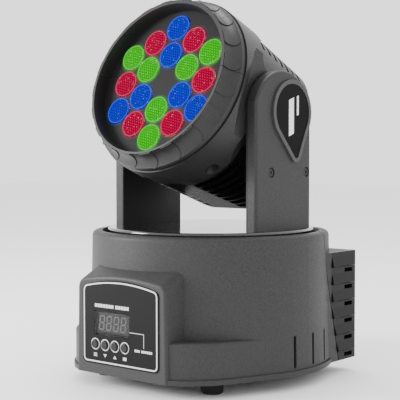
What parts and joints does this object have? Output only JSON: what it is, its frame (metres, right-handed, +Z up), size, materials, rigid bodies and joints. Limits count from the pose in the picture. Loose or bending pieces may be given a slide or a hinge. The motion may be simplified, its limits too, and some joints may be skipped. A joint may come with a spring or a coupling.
{
  "type": "moving head light",
  "caption": "Small moving head wash light: round base with a front control panel, a motorised two-armed yoke and a tilting head with a hexagonal field of coloured LED lenses.",
  "frame": {"origin": "where the pan axis meets the plane that the four rubber feet stand on", "axes": "+Z up along the pan axis, -Y out of the control panel, +X to the right of someone facing the panel"},
  "size_m": [0.1856, 0.1786, 0.2776],
  "materials": {
    "casing": "fine matte texture",
    "casing_dark": "smooth satin",
    "disc_gloss": "polished",
    "panel": "printed film",
    "window": "smoked clear",
    "button": "satin",
    "steel": "zinc plated",
    "arm_steel": "black",
    "screw": "black oxide",
    "aluminium": "milled",
    "contact": "polished",
    "rubber": "matte",
    "circuit": "solder mask",
    "white_board": "white solder mask",
    "motor": "black and bright steel",
    "bearing": "polished steel",
    "emitter": "phosphor and ceramic",
    "lens_red": "faceted clear",
    "lens_green": "faceted clear",
    "lens_blue": "faceted clear"
  },
  "bodies": {
    "base": {"base_front_shell": "casing", "base_rear_cover": "casing", "bottom_tray": "casing_dark", "rubber_feet": "rubber", "foot_screws": "steel", "chassis_plate": "steel", "chassis_posts": "steel", "panel_overlay": "panel", "display_window": "window", "display_module": "casing_dark", "control_board": "circuit", "connector_plate": "casing_dark", "power_inlet": "casing_dark", "connector_pins": "contact", "dmx_in_socket": "casing_dark", "dmx_out_socket": "casing_dark", "connector_screws": "screw", "power_supply_board": "circuit", "main_board": "circuit", "pan_motor": "motor", "pan_belt": "rubber", "pan_bearing_outer": "bearing", "pan_bearing_balls": "bearing"},
    "yoke": {"turntable": "disc_gloss", "pan_shaft": "steel", "pan_pulley": "casing_dark", "pan_bearing_inner": "bearing", "pan_retaining_ring": "steel", "yoke_screws": "screw", "arm_cover_right": "casing", "arm_cover_left": "casing", "arm_inner_skins": "casing_dark", "arm_brackets": "arm_steel", "arm_badges": "casing_dark", "tilt_axles": "steel", "tilt_fixed_pulley": "casing_dark"},
    "head": {"head_shell_upper": "casing", "head_shell_lower": "casing", "lens_plate": "casing_dark", "lenses_red": "lens_red", "lenses_green": "lens_green", "lenses_blue": "lens_blue", "led_board": "white_board", "led_emitters": "emitter", "heat_sink": "aluminium", "head_fan_frame": "casing_dark", "tilt_motor": "motor", "tilt_motor_bracket": "steel", "tilt_belt": "rubber", "tilt_bushes": "contact", "head_shell_screws": "screw"},
    "pan_motor_pulley": {"pan_motor_pulley": "aluminium"},
    "tilt_motor_pulley": {"tilt_motor_pulley": "aluminium"},
    "head_fan_rotor": {"head_fan_rotor": "casing_dark"},
    "fuse_drawer": {"fuse_drawer": "casing_dark"},
    "dmx_out_latch": {"dmx_out_latch": "casing_dark"},
    "button_menu": {"button_menu": "button"},
    "button_down": {"button_down": "button"},
    "button_up": {"button_up": "button"},
    "button_enter": {"button_enter": "button"}
  },
  "joints": [
    {"name": "pan", "type": "hinge", "parent": "base", "child": "yoke", "pos_m": [0, 0, 0.0905], "axis": [0, 0, 1], "range_deg": [-270, 270]},
    {"name": "tilt", "type": "hinge", "parent": "yoke", "child": "head", "pos_m": [0, 0, 0.201], "axis": [-1, 0, 0], "range_deg": [-22, 158]},
    {"name": "pan_motor_turn", "type": "hinge", "parent": "base", "child": "pan_motor_pulley", "pos_m": [0, -0.054, 0.079], "axis": [0, 0, 1], "range_deg": [-1080, 1080]},
    {"name": "tilt_motor_turn", "type": "hinge", "parent": "head", "child": "tilt_motor_pulley", "pos_m": [0.0434, 0.03012, 0.18879], "axis": [-1, 0, 0], "range_deg": [-474.5, 66.5]},
    {"name": "head_fan_spin", "type": "hinge", "parent": "head", "child": "head_fan_rotor", "pos_m": [0, -0.01367, 0.20082], "axis": [0, -0.9267, 0.3757], "continuous": true},
    {"name": "fuse_drawer_slide", "type": "slide", "parent": "base", "child": "fuse_drawer", "axis": [0, 1, 0], "range_m": [0, 0.014]},
    {"name": "dmx_latch_press", "type": "slide", "parent": "base", "child": "dmx_out_latch", "axis": [0, -1, 0], "range_m": [0, 0.002], "stiffness_N_per_m": 400, "springref_m": -0.0005},
    {"name": "button_menu_press", "type": "slide", "parent": "base", "child": "button_menu", "axis": [0, 1, 0], "range_m": [0, 0.0006], "stiffness_N_per_m": 600, "springref_m": -0.0004},
    {"name": "button_down_press", "type": "slide", "parent": "base", "child": "button_down", "axis": [0, 1, 0], "range_m": [0, 0.0006], "stiffness_N_per_m": 600, "springref_m": -0.0004},
    {"name": "button_up_press", "type": "slide", "parent": "base", "child": "button_up", "axis": [0, 1, 0], "range_m": [0, 0.0006], "stiffness_N_per_m": 600, "springref_m": -0.0004},
    {"name": "button_enter_press", "type": "slide", "parent": "base", "child": "button_enter", "axis": [0, 1, 0], "range_m": [0, 0.0006], "stiffness_N_per_m": 600, "springref_m": -0.0004}
  ],
  "couplings": [
    {"joint": "pan_motor_turn", "follows": "pan", "ratio": 4},
    {"joint": "tilt_motor_turn", "follows": "tilt", "ratio": -3}
  ]
}
